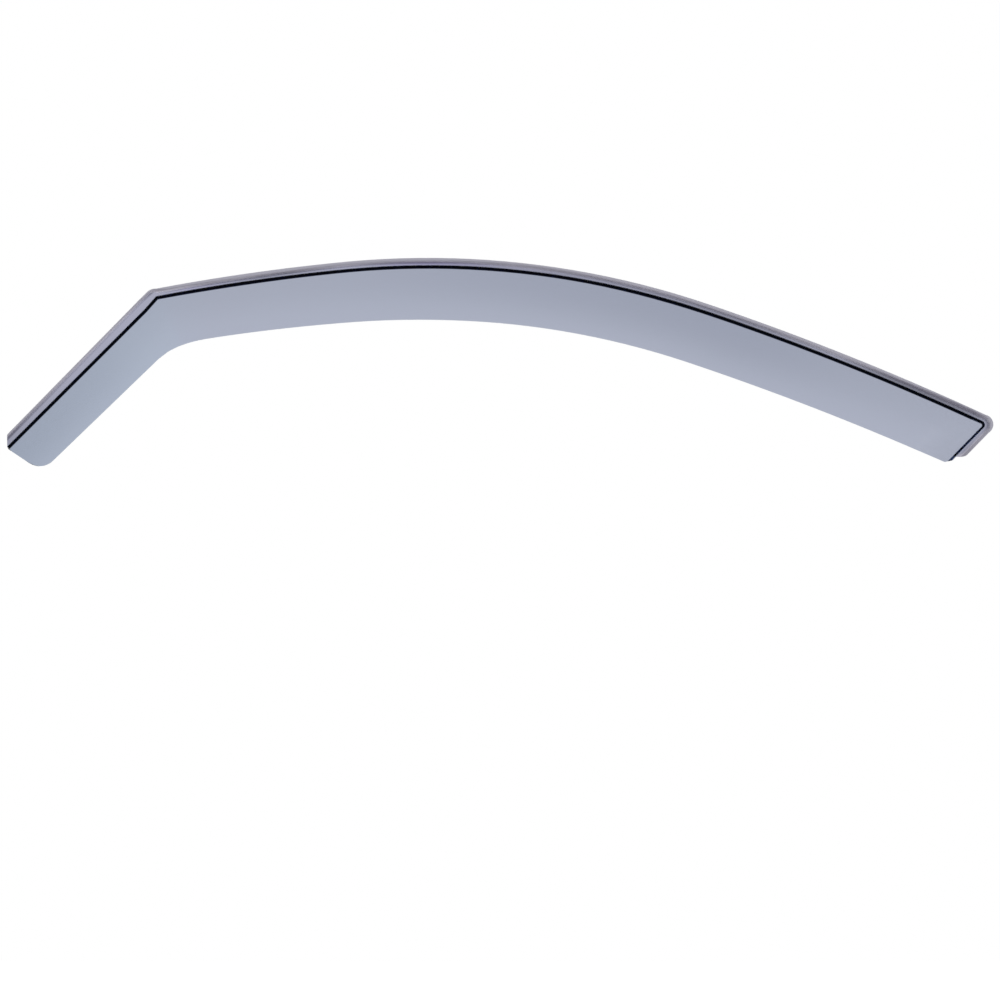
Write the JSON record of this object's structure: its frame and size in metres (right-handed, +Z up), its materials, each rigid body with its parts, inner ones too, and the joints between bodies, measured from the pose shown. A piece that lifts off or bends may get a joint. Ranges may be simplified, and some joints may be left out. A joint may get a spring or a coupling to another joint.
{
  "type": "window rain deflector",
  "caption": "Smoke-tinted rain deflector for a front door window: a bowed visor with a front pillar leg and a stepped edge flange that slides into the window channel.",
  "frame": {"origin": "highest point of the fold line between flange and step wall, on the flange's inboard face, which lies against the door glass side of the window channel", "axes": "+X along the roof line towards the rear of the car, +Z up into the roof channel, -Y outboard"},
  "size_m": [0.9377, 0.0372, 0.1979],
  "materials": {
    "smoked_acrylic": "polished transparent cast acrylic with a smoke tint; the flange's tongue is milled and slightly frosted"
  },
  "bodies": {
    "root": {"deflector": "smoked_acrylic"}
  },
  "joints": []
}
